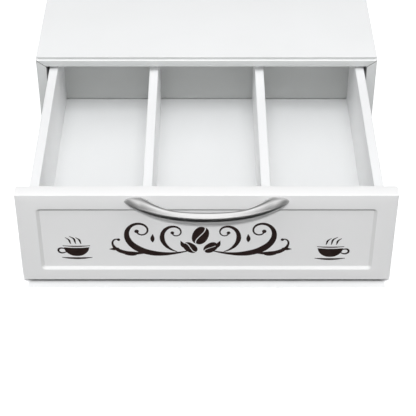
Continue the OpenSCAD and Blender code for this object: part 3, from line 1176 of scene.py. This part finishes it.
@dataclass
class FrontPrint:
    """Dark print on the sunk panel: scrolls and coffee beans in the middle, a cup at each side.

    Everything is drawn in millimetres from a motif's own centre. A mark is a pair of edges, two
    arrays of (x, z) points that run side by side.
    """

    finishes: Finishes
    plane_y: float
    middle: tuple[float, float] = (-5.0, 44.6)
    left_cup: tuple[float, float] = (-106.5, 37.6)
    right_cup: tuple[float, float] = (101.5, 36.6)
    film: float = 0.08 * MM
    layer: float = 0.003 * MM        # how far each mark stands over the one before
    sunk_in: float = 0.02 * MM
    dot_open: float = 0.08           # radians left open at each end of a dot's two halves
    leaf_bend: float = 0.03
    leaf_stem: float = 0.12
    least_lobe: float = 0.05

    def swept(self, start: tuple[float, float], heading: float, length: float, bends: tuple[float, ...],
              steps: int = 90) -> np.ndarray:
        """A curve by its bend.

        The heading is the sum of the bend along the way, and the place is the sum of the headings.

        Args:
            start: first point.
            heading: first direction in degrees from +x.
            length: length of the curve.
            bends: curvature at equal shares of the length, straight lines between them.
            steps: number of steps.

        Returns:
            Array of shape (steps + 1, 2).
        """
        share = np.linspace(0, 1, steps + 1)
        bend = np.interp(share, np.linspace(0, 1, len(bends)), bends)
        step = length / steps
        turn = math.radians(heading) + np.concatenate([[0], np.cumsum((bend[1:] + bend[:-1]) / 2 * step)])
        mid = (turn[1:] + turn[:-1]) / 2
        way = np.cumsum(np.stack([np.cos(mid), np.sin(mid)], -1) * step, 0)
        return np.concatenate([[start], np.array(start) + way])

    def brushed(self, path: np.ndarray, widths: tuple[float, ...]) -> Mark:
        """A stroke: the path plus and less its normal times half the width.

        Args:
            path: the stroke's middle line.
            widths: its width at equal shares of the way, straight lines between them.

        Returns:
            The stroke's two edges.
        """
        way = np.gradient(path, axis=0)
        way /= np.linalg.norm(way, axis=1, keepdims=True)
        normal = np.stack([-way[:, 1], way[:, 0]], -1)
        share = np.linspace(0, 1, len(path))
        half = np.interp(share, np.linspace(0, 1, len(widths)), widths)[:, None] / 2
        return path + normal * half, path - normal * half

    def put(self, mark: Mark, degrees: float, at: tuple[float, float]) -> Mark:
        """A mark turned about its origin and shifted.

        Args:
            mark: the mark.
            degrees: its turn, anticlockwise.
            at: where its origin comes to lie.

        Returns:
            The mark in its place.
        """
        c, s = math.cos(math.radians(degrees)), math.sin(math.radians(degrees))
        turn = np.array([[c, s], [-s, c]])
        return mark[0] @ turn + np.array(at), mark[1] @ turn + np.array(at)

    def dot(self, at: np.ndarray, radius: float) -> Mark:
        """A round dot: an upper and a lower half circle, which stop short of each other by a hair.

        Args:
            at: its middle.
            radius: its radius.

        Returns:
            The dot's two edges.
        """
        angle = np.linspace(self.dot_open, math.pi - self.dot_open, 16)
        x, z = radius * np.cos(angle), radius * np.sin(angle)
        return np.stack([x, z], -1) + at, np.stack([x, -z], -1) + at

    def leaf(self, at: tuple[float, float], tilt: float, length: float, width: float) -> Mark:
        """A leaf on a slightly bent line.

        With s from 0 to 1 along it, its width is the greatest width times sin(pi s^0.8)^1.2, and the
        stem's width more.

        Args:
            at: its foot.
            tilt: its direction in degrees from +x.
            length: its length.
            width: its greatest width.

        Returns:
            The leaf's two edges.
        """
        share = np.linspace(0, 1, 25)
        wide = width * np.sin(math.pi * share ** 0.8) ** 1.2 + self.leaf_stem
        line = self.swept((0, 0), 0, length, (self.leaf_bend, self.leaf_bend), 24)
        return self.put(self.brushed(line, tuple(wide)), tilt, at)

    def bean(self, wide: float, tall: float, at: tuple[float, float], tilt: float,
             slit: float) -> list[Mark]:
        """A coffee bean as two lobes between an oval rim and an S-shaped slit.

        With u from the top to the bottom, the rim stands off by the half width times sin(pi u)^0.8
        and the slit swings by 0.28 of it times sin(2 pi u).

        Args:
            wide: half of its width.
            tall: half of its height.
            at: its middle.
            tilt: its turn in degrees.
            slit: the slit's width.

        Returns:
            The two lobes.
        """
        u = np.linspace(0.02, 0.98, 40)
        height = tall * np.cos(math.pi * u)
        rim, swing = wide * np.sin(math.pi * u) ** 0.8, 0.28 * wide * np.sin(2 * math.pi * u)
        lobes = []
        for sign in (-1, 1):
            inner = swing + sign * slit / 2
            outer = sign * np.maximum(rim, sign * inner + self.least_lobe)
            lobes.append(self.put((np.stack([outer, height], -1), np.stack([inner, height], -1)), tilt, at))
        return lobes

    def flourish(self) -> list[Mark]:
        """Three scrolls, dots and leaves, the same mirrored, and three beans in the middle.

        Returns:
            All marks of the middle motif.
        """
        scrolls = (                  # start, heading, length, bends, widths, radius of the end's dot
            ((8.5, -11.5), -16, 104, (0.004, 0.018, 0.026, 0.05, 0.085, 0.15, 0.27),
             (0.7, 2.4, 5.0, 6.0, 4.6, 2.6, 1.5, 1.2), 1.8),
            ((19, -12.8), 18, 58, (0.05, 0.06, 0.07, 0.12, 0.2, 0.36),
             (0.5, 2.6, 4.0, 3.1, 1.9, 1.1, 1.0), 1.5),
            ((38, -13.6), -4, 47, (0.0, 0.0, 0.03, 0.06, 0.12, 0.4), (0.4, 1.8, 3.6, 3.6, 1.8, 0.9), 1.3),
        )
        leaves = (                   # foot, direction, length, width
            ((12.5, -9.0), 58, 9, 3.4), ((50.5, -14.6), -16, 12, 3.0),
            ((66.5, -9.0), -14, 8.5, 2.8), ((38.9, -2.6), 84, 9, 3.2),
        )
        beans = (                    # half width, half height, middle, turn, slit
            (6.6, 9.4, (0, 4.6), -18, 0.9), (4.6, 6.6, (-8.4, -8.4), 48, 0.8),
            (4.6, 6.6, (8.4, -8.4), -48, 0.8),
        )
        half = []
        for start, heading, length, bends, widths, end in scrolls:
            path = self.swept(start, heading, length, bends)
            half += [self.brushed(path, widths), self.dot(path[-1], end)]
        half += [self.leaf(*leaf) for leaf in leaves]
        marks = half + [(a * (-1, 1), b * (-1, 1)) for a, b in half]
        for bean in beans:
            marks += self.bean(*bean)
        return marks

    def cup(self, mirrored: bool) -> list[Mark]:
        """A cup from the side: bowl, rim line, ring, saucer and three wisps of steam.

        The bowl's lower edge hangs below the rim by 10.2 times the root of 1 - |u|^2.3, with u from
        -1 to 1 across it.

        Args:
            mirrored: whether the ring is on the left.

        Returns:
            All marks of the cup.
        """
        u = np.linspace(-1, 1, 33)
        brim = np.stack([10.5 * u, 0.7 * u ** 2 - 1.8], -1)
        hang = -0.4 - 10.2 * np.sqrt(np.clip(1 - np.abs(u) ** 2.3, 0, 1))
        low = np.stack([10.5 * u * (0.9 + 0.1 * u ** 2), np.minimum(hang, brim[:, 1] - 0.1)], -1)
        marks = [(brim, low), self.brushed(np.stack([11.2 * u, 0.7 * u ** 2], -1), (0.5, 1.1, 1.1, 0.5))]
        marks.append(self.brushed(self.swept((9.9, -2.6), 28, 15.5, (-0.1, -0.45, -0.3, -0.1), 40),
                                  (0.9, 1.7, 1.5, 0.8)))
        marks.append(self.brushed(np.stack([12.5 * u, u ** 2 - 13.0], -1), (0.4, 1.6, 2.0, 1.6, 0.4)))
        for x, length in ((-4.0, 8.5), (0.2, 10.5), (4.4, 8.5)):
            wisp = self.swept((x, 2.6), 62, length, (0.22, 0.05, -0.3, -0.1, 0.2), 30)
            marks.append(self.brushed(wisp, (0.35, 1.3, 1.5, 0.9, 0.3)))
        side = -1 if mirrored else 1
        return [(a * (side, 1), b * (side, 1)) for a, b in marks]

    def film_of(self, marks: list[Mark], at: tuple[float, float]) -> Shape:
        """A thin closed plate for each mark, its front a film's thickness proud and a hair over the last.

        Args:
            marks: the marks.
            at: where their origin lies on the panel, in millimetres.

        Returns:
            All plates in one shape.
        """
        plates = []
        for i, (one, other) in enumerate(marks):
            front = -self.film - i * self.layer
            corners = [(one, front), (other, front), (other, self.sunk_in), (one, self.sunk_in)]
            rings = np.stack([np.stack([(edge[:, 0] + at[0]) * MM, np.full(len(edge), self.plane_y + y),
                                        (edge[:, 1] + at[1]) * MM], -1) for edge, y in corners], 1)
            plates.append(loft(rings))
        return joined(plates)

    def build(self) -> None:
        """Builds the three motifs."""
        ink = self.finishes.ink
        for name, marks, at in (("print_flourish", self.flourish(), self.middle),
                                ("print_cup_left", self.cup(True), self.left_cup),
                                ("print_cup_right", self.cup(False), self.right_cup)):
            make_piece(name, self.film_of(marks, at), ink, DRAWER)


@dataclass
class BowHandle:
    """The cast bow handle and its two screws."""

    finishes: Finishes
    centres: float = 96 * MM
    tip: float = 17.7 * MM
    out: float = 23 * MM
    grip_height: float = 8.5 * MM
    grip_thickness: float = 6.5 * MM
    leaf_height: float = 10.2 * MM
    behind: float = 6 * MM
    outer_power: float = 2.16
    outer_fullness: float = 0.79
    inner_share: float = 0.727
    inner_power: float = 3.3
    leaf_from: float = 0.42
    leaf_to: float = 0.73
    tip_power: float = 12
    tip_blunt: float = 0.003         # keeps the tip's height a little above nothing
    stations: int = 141
    around: int = 72
    screw_sides: int = 96
    screw_radius: float = 2 * MM
    screw_head_radius: float = 3.75 * MM
    screw_length: float = 18 * MM
    screw_point: float = 0.5 * MM
    screw_proud: float = 0.08 * MM
    cross_half: float = 2.1 * MM
    cross_arm: float = 0.42 * MM
    cross_soft: float = 0.25 * MM
    cross_depth: float = 1.3 * MM
    cross_full: float = 0.75         # share of an arm before its end rises
    cross_taper: float = 0.5         # how much shallower the recess is at an arm's end
    head_fine: tuple[float, float] = (0.02 * MM, 2.4 * MM)       # radii between which the grid is fine
    head_outer: tuple[float, float] = (3.0 * MM, 3.55 * MM)
    head_rim: tuple[float, float] = (0.02 * MM, 0.12 * MM)       # depths of the rim's two edges

    def height(self) -> float:
        """Height of the handle's middle."""
        low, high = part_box("bow_handle")
        return (low[2] + high[2]) / 2

    def face_y(self) -> float:
        """The front's face, which the feet stand on."""
        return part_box("drawer_front")[0][1]

    def bow(self) -> Shape:
        """The bow as elliptical sections across X.

        With u as the share of the half length, the outer curve stands off by the reach times
        (1 - u^2.16)^0.79 and the inner curve by its own reach times (1 - (x/inner half)^3.3). A
        section is the ellipse between the two curves. Its half height grows from the grip to the
        leaf by a smooth step and falls off at the tip by the root of 1 - u^12. What would lie
        behind the face is drawn forward onto it and held inside the section's cut, which makes the
        flat feet.

        Returns:
            The bow in its place, with its UVs: the share of the length and of the turn.
        """
        half = self.centres / 2 + self.tip
        x = half * np.sin(np.linspace(-math.pi / 2, math.pi / 2, self.stations))
        u = np.minimum(np.abs(x) / half, 1)
        far = self.out * np.clip(1 - u ** self.outer_power, 0, None) ** self.outer_fullness
        fall = (np.abs(x) / (self.inner_share * half)) ** self.inner_power
        near = np.maximum((self.out - self.grip_thickness) * (1 - fall), -self.behind)
        widened = eased((u - self.leaf_from) / (self.leaf_to - self.leaf_from))
        tall = (self.grip_height + (self.leaf_height - self.grip_height) * widened) / 2
        tall = tall * np.sqrt(1 + self.tip_blunt - u ** self.tip_power)
        angle = np.linspace(0, 2 * math.pi, self.around, endpoint=False)
        centre, thick = (far + near) / 2, (far - near) / 2
        off = centre[:, None] + thick[:, None] * np.cos(angle)
        high = tall[:, None] * np.sin(angle)
        cut = tall * np.sqrt(np.clip(1 - (centre / thick) ** 2, 0, None))
        behind = off < 0
        high = np.where(behind, np.clip(high, -cut[:, None], cut[:, None]), high)
        off = np.where(behind, 0, off)
        along = np.repeat(x[:, None], self.around, 1)
        shape = loft(np.stack([along, self.face_y() - off, self.height() + high], -1))
        length = np.concatenate([[0], np.cumsum(np.hypot(np.diff(x), np.diff(centre)))])
        turned = np.broadcast_arrays(length[:, None] / length[-1], angle / (2 * math.pi))
        shape.uv = np.stack(turned, -1).reshape(-1, 2)
        return shape

    def screw(self) -> Shape:
        """A countersunk screw with a cross recess.

        The head's face is a grid of radius and angle. Its depth is the recess's, less towards the
        ends of the arms, wherever the point is nearer to one of two crossed lines than the arm's
        half width. The shank is a plain turned profile.

        Returns:
            The screw, its head's face at Y = 0.
        """
        angle = np.linspace(0, 2 * math.pi, self.screw_sides, endpoint=False)
        radius = np.concatenate([np.linspace(*self.head_fine, 25), self.head_outer])
        r, a = np.meshgrid(radius, angle, indexing="ij")
        px, pz = r * np.cos(a), r * np.sin(a)
        nearest = np.minimum(np.abs(px), np.abs(pz))
        arm = 1 - eased((nearest - self.cross_arm) / self.cross_soft + 0.5)
        share = r / self.cross_half
        reach = 1 - eased((share - self.cross_full) / (1 - self.cross_full))
        sunk = self.cross_depth * arm * reach * (1 - self.cross_taper * share)
        head = np.stack([px, sunk, pz], -1)
        hr, sr = self.screw_head_radius, self.screw_radius
        length, point = self.screw_length, self.screw_point
        body = np.array([*((hr, depth) for depth in self.head_rim), (sr, hr - sr), (sr, length - point),
                         (sr - point, length)])
        shank = np.stack([body[:, :1] * np.cos(angle), np.repeat(body[:, 1:], self.screw_sides, 1),
                          body[:, :1] * np.sin(angle)], -1)
        return loft(np.concatenate([head, shank]) * np.array([1, -1, 1]))

    def build(self) -> None:
        """Builds the handle and its screws."""
        make_piece("bow", self.bow(), self.finishes.nickel, DRAWER, ("bow_handle",), crease=50)
        screw = self.screw()
        y, z, half = DRAWER_ZERO_Y + self.screw_proud, self.height(), self.centres / 2
        pair = joined([screw.moved(x, y, z) for x in (-half, half)])
        make_piece("bow_screws", pair, self.finishes.zinc, DRAWER, ("handle_screws",), crease=30)


# ------------------------------------------------------------------ studio


@dataclass
class Studio:
    """Floor, soft light from above and in front, dark cards for the metal, and the camera."""

    camera_place: tuple[float, float, float] = (0.0, -0.9806, 0.7284)
    camera_pitch: float = 39.52
    lens: float = 110.77
    sensor: float = 36.0
    clip: tuple[float, float] = (0.05, 50.0)
    shift_x: float = 0.0034
    top_strength: float = 1.55
    top_spread: float = 28.0
    top_tilt: float = 25.0
    front_strength: float = 0.64
    front_spread: float = 50.0
    front_tilt: float = 52.0
    key_strength: float = 1.8
    key_spread: float = 3.5
    key_tilt: float = 43.7
    key_bearing: float = -4.0
    face_strength: float = 0.35
    face_tilt: float = 12.0
    lamp_distance: float = 2.7
    cool: Colour = (0.985, 0.997, 1.014)
    side_strength: float = 0.8
    side_spread: float = 60.0
    side_tilt: float = 40.0
    side_bearing: float = 80.0
    sky: float = 0.18
    gloss_sky: float = 1.46
    gloss_side: float = 0.2
    gloss_range: tuple[float, float] = (0.3, 0.8)
    floor_half: float = 1.6
    floor_bounce: float = 0.27
    floor_shown: float = 1.6
    floor_covered: float = 0.12      # the floor's shade right under the front
    contact_samples: int = 16
    contact_reach: float = 0.011
    contact_range: tuple[float, float] = (0.12, 0.65)
    contact_ends: tuple[float, float] = (0.143, 0.153)
    halo_range: tuple[float, float] = (0.955, 0.998)
    floor_halo: float = 0.8
    flag_half: float = 1.2
    flag_reach: float = 0.45
    flag_gap: float = 4 * MM
    flag_lift: float = 1 * MM
    flag_grey: float = 0.03
    rear_flag_y: float = 0.5
    rear_flag_low: float = 0.1
    rear_flag_high: float = 2.2
    rear_flag_grey: float = 0.05
    grade_from: float = 0.35         # height at which the rear card starts to pale

    def staged(self, name: str, corners: np.ndarray, material: bpy.types.Material) -> bpy.types.Object:
        """A flat card that belongs to the studio and not to the object.

        Args:
            name: its name.
            corners: its four corners in order.
            material: its finish.

        Returns:
            The card.
        """
        mesh = bpy.data.meshes.new(name)
        mesh.from_pydata(corners.tolist(), [], [(0, 1, 2, 3)])
        mesh.materials.append(material)
        card = bpy.data.objects.new(name, mesh)
        bpy.context.scene.collection.objects.link(card)
        return card

    def floor(self) -> None:
        """A wide pale floor that keeps the object's shadow.

        It is lighter to the camera than to the object, so that little light comes from below, and
        it darkens within a few millimetres of the drawer's front, with a paler rim round that; the
        shade fades towards the front's two ends.
        """
        t = NodeTree("studio_floor")
        path = t.add("ShaderNodeLightPath")
        seen = t.computed("ADD", path.outputs["Is Camera Ray"], path.outputs["Is Transmission Ray"], True)
        looked_at = t.computed("ADD", seen, path.outputs["Is Glossy Ray"], True)
        near = t.add("ShaderNodeAmbientOcclusion", samples=self.contact_samples)
        near.inputs["Distance"].default_value = self.contact_reach
        contact = t.ranged(near.outputs["AO"], self.floor_covered, self.floor_halo, self.contact_range)
        rim = t.ranged(near.outputs["AO"], 0.0, self.floor_shown - self.floor_halo, self.halo_range)
        past_ends = t.ranged(t.computed("ABSOLUTE", t.axis("X")), 0.0, self.floor_shown, self.contact_ends)
        mix = t.add("ShaderNodeMix", data_type="RGBA")
        t.link(looked_at, mix.inputs[0])
        mix.inputs[6].default_value = (self.floor_bounce,) * 3 + (1.0,)
        t.link(t.computed("MAXIMUM", t.computed("ADD", contact, rim), past_ends), mix.inputs[7])
        t.link(mix.outputs[2], t.shader.inputs["Base Color"])
        t.set(Roughness=1.0, Specular_IOR_Level=0.0)
        corners = self.floor_half * np.array([(-1, -1, 0), (1, -1, 0), (1, 1, 0), (-1, 1, 0)])
        self.staged("studio_floor", corners, t.material)

    def flags(self) -> None:
        """Two dark cards that only gloss sees: they draw the metal's shape.

        The front one lies on the floor. The one behind stands, hangs a little above the floor and
        pales upwards into the sky.
        """
        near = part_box("drawer_front")[0][1] - self.flag_gap
        front = ((near, self.flag_lift), (near - self.flag_reach, self.flag_lift))
        back = ((self.rear_flag_y, self.rear_flag_low), (self.rear_flag_y, self.rear_flag_high))
        for name, (first, last), grey in (("front_flag", front, self.flag_grey),
                                          ("rear_flag", back, self.rear_flag_grey)):
            t = NodeTree(name)
            t.set(Base_Color=(0.0, 0.0, 0.0, 1.0), Roughness=1.0, Specular_IOR_Level=0.0,
                  Emission_Color=WHITE)
            t.link(t.ranged(t.axis("Z"), grey, self.gloss_sky, (self.grade_from, self.rear_flag_high)),
                   t.shader.inputs["Emission Strength"])
            x = self.flag_half
            corners = np.array([(-x, *first), (-x, *last), (x, *last), (x, *first)])
            card = self.staged(name, corners, t.material)
            card.visible_camera = False
            card.visible_diffuse = False
            card.visible_shadow = False
            card.visible_transmission = False

    def disk_lamp(self, name: str, strength: float, tilt: float, spread: float,
                  tint: Colour = WHITE[:3], bearing: float = 0.0) -> None:
        """A round lamp over the drawer's front.

        Formula: with t the tilt and b the bearing, it stands from the front's foot in the direction
        (sin t sin b, -sin t cos b, cos t), so that a bearing below zero puts it to the left.

        Args:
            name: the lamp's name.
            strength: the light that it gives a surface square to it.
            tilt: how far it leans to the front, in degrees.
            spread: how wide it looks from the front, in degrees.
            tint: its colour.
            bearing: its turn to the right, in degrees.
        """
        lean, turn, away = math.radians(tilt), math.radians(bearing), self.lamp_distance
        data = bpy.data.lights.new(name, "AREA")
        data.shape = "DISK"
        data.size = 2 * away * math.tan(math.radians(spread / 2))
        data.energy = strength * math.pi * away ** 2
        data.color = tint
        reach = away * math.sin(lean)
        place = (reach * math.sin(turn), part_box("drawer_front")[0][1] - reach * math.cos(turn),
                 away * math.cos(lean))
        self.hung(name, data, place, (lean, 0, turn))

    def hung(self, name: str, data: bpy.types.Light, place: tuple[float, float, float],
             turn: tuple[float, float, float]) -> None:
        """Hangs a lamp, which reflections don't show.

        Args:
            name: the lamp's name.
            data: its light.
            place: where it hangs.
            turn: its turn about the three axes.
        """
        lamp = bpy.data.objects.new(name, data)
        lamp.location = place
        lamp.rotation_euler = turn
        lamp.visible_glossy = False
        bpy.context.scene.collection.objects.link(lamp)

    def link(self, lamp: str, pieces: tuple[str, ...], state: str) -> None:
        """Keeps a lamp to some pieces, or off them, as cards round the lamp would.

        Args:
            lamp: the lamp's name.
            pieces: the pieces it is kept to or off.
            state: INCLUDE or EXCLUDE.
        """
        lit = bpy.data.collections.new(f"{lamp}_pieces")
        bpy.data.objects[lamp].light_linking.receiver_collection = lit
        for i, piece in enumerate(pieces):
            lit.objects.link(bpy.data.objects[piece])
            lit.collection_objects[i].light_linking.link_state = state

    def share_lamps(self) -> None:
        """Gives the front its own pair of lamps, and keeps the front lamp off the drawer's back."""
        face = ("front_panel", "bow", "print_flourish", "print_cup_left", "print_cup_right")
        self.link("key_lamp", face, "INCLUDE")
        self.link("face_lamp", face, "INCLUDE")
        self.link("top_lamp", face, "EXCLUDE")
        self.link("front_lamp", (*face, "rear_board"), "EXCLUDE")

    def lights(self) -> None:
        """Broad soft lamps above, in front and at both sides."""
        self.disk_lamp("top_lamp", self.top_strength, self.top_tilt, self.top_spread, self.cool)
        self.disk_lamp("front_lamp", self.front_strength, self.front_tilt, self.front_spread, self.cool)
        self.disk_lamp("key_lamp", self.key_strength, self.key_tilt, self.key_spread,
                       bearing=self.key_bearing)
        self.disk_lamp("face_lamp", self.face_strength, self.face_tilt, self.top_spread)
        for name, bearing in (("left_lamp", -self.side_bearing), ("right_lamp", self.side_bearing)):
            data = bpy.data.lights.new(name, "SUN")
            data.energy = self.side_strength
            data.angle = math.radians(self.side_spread)
            self.hung(name, data, (0, 0, 0), (math.radians(self.side_tilt), 0, math.radians(bearing)))

    def world(self) -> None:
        """An even sky, which the camera sees as white and gloss sees brighter, in place of the lamps.

        With d the ray's direction, its strength in reflections falls from gloss_sky to gloss_side
        while |d.x| goes through gloss_range.
        """
        world = bpy.data.worlds.new("studio")
        world.use_nodes = True
        bpy.context.scene.world = world
        t = NodeGraph(world.node_tree)
        even, bright = t.found("BACKGROUND"), t.add("ShaderNodeBackground")
        even.inputs["Color"].default_value = bright.inputs["Color"].default_value = WHITE
        even.inputs["Strength"].default_value = self.sky
        path = t.add("ShaderNodeLightPath")
        gloss = path.outputs["Is Glossy Ray"]
        power = t.add("ShaderNodeMapRange")
        t.link(gloss, power.inputs["Value"])
        power.inputs["To Min"].default_value = 1.0
        aside = t.computed("ABSOLUTE", t.axis("X", "Generated"))
        t.link(t.ranged(aside, self.gloss_sky, self.gloss_side, self.gloss_range), power.inputs["To Max"])
        t.link(power.outputs["Result"], bright.inputs["Strength"])
        mix = t.add("ShaderNodeMixShader")
        t.link(t.computed("MAXIMUM", path.outputs["Is Camera Ray"], gloss), mix.inputs[0])
        t.link(even.outputs[0], mix.inputs[1])
        t.link(bright.outputs[0], mix.inputs[2])
        t.link(mix.outputs[0], t.found("OUTPUT_WORLD").inputs["Surface"])

    def camera(self) -> None:
        """The camera, above and in front, looking down."""
        data = bpy.data.cameras.new("camera")
        data.lens = self.lens
        data.sensor_width = self.sensor
        data.shift_x = self.shift_x
        data.clip_start, data.clip_end = self.clip
        camera = bpy.data.objects.new("camera", data)
        x, y, z = self.camera_place
        camera.location = (x, y + FRONT_PLANE_Y, z)
        camera.rotation_euler = (math.radians(90 - self.camera_pitch), 0, 0)
        bpy.context.scene.collection.objects.link(camera)
        bpy.context.scene.camera = camera

    def build(self) -> None:
        """Sets up the whole studio."""
        bpy.context.scene.view_settings.view_transform = "Standard"
        self.floor()
        self.flags()
        self.lights()
        self.world()
        self.camera()


def main() -> None:
    """Builds the object and the studio."""
    logging.basicConfig(level=logging.INFO, format="%(name)s %(message)s")
    finishes = Finishes()
    studio = Studio()
    studio.build()
    Cabinet(finishes).build()
    DrawerBox(finishes).build()
    front = DrawerFront(finishes)
    front.build()
    FrontPrint(finishes, front.panel_y()).build()
    BowHandle(finishes).build()
    studio.share_lamps()


if __name__ == "__main__":
    main()
